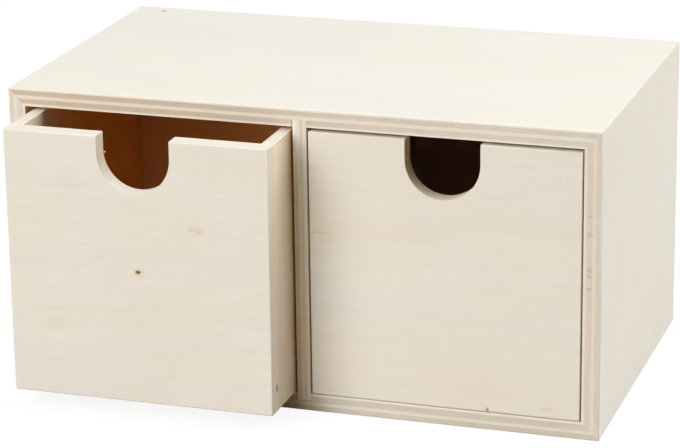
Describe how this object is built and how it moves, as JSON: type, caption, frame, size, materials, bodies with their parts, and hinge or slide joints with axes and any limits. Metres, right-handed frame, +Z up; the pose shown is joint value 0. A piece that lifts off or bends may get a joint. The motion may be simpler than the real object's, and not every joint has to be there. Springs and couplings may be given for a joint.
{
  "type": "desktop drawer cabinet",
  "caption": "Small plywood desktop cabinet with side-by-side drawers, mitred carcass, centre divider and a U-shaped finger notch in each drawer front.",
  "frame": {"origin": "centre of the cabinet's underside, on the surface it stands on", "axes": "+X to the right seen from the front, +Y from the drawer fronts to the back, +Z up"},
  "size_m": [0.26, 0.1825, 0.1335],
  "materials": {
    "carcass_plywood": "sanded, unfinished",
    "front_plywood": "sanded, unfinished",
    "thin_plywood": "sanded, unfinished",
    "brad_steel": "dull"
  },
  "bodies": {
    "cabinet": {"cabinet_top": "carcass_plywood", "cabinet_bottom": "carcass_plywood", "cabinet_left_side": "carcass_plywood", "cabinet_right_side": "carcass_plywood", "cabinet_divider": "thin_plywood", "cabinet_back": "thin_plywood", "cabinet_brads": "brad_steel"},
    "left_drawer": {"left_drawer_front": "front_plywood", "left_drawer_left_side": "thin_plywood", "left_drawer_right_side": "thin_plywood", "left_drawer_back": "thin_plywood", "left_drawer_bottom": "thin_plywood", "left_drawer_brads": "brad_steel"},
    "right_drawer": {"right_drawer_front": "front_plywood", "right_drawer_left_side": "thin_plywood", "right_drawer_right_side": "thin_plywood", "right_drawer_back": "thin_plywood", "right_drawer_bottom": "thin_plywood", "right_drawer_brads": "brad_steel"}
  },
  "joints": [
    {"name": "left_drawer_slide", "type": "slide", "parent": "cabinet", "child": "left_drawer", "axis": [0, -1, 0], "range_m": [-0.0295, 0.0885]},
    {"name": "right_drawer_slide", "type": "slide", "parent": "cabinet", "child": "right_drawer", "axis": [0, -1, 0], "range_m": [0, 0.118]}
  ]
}
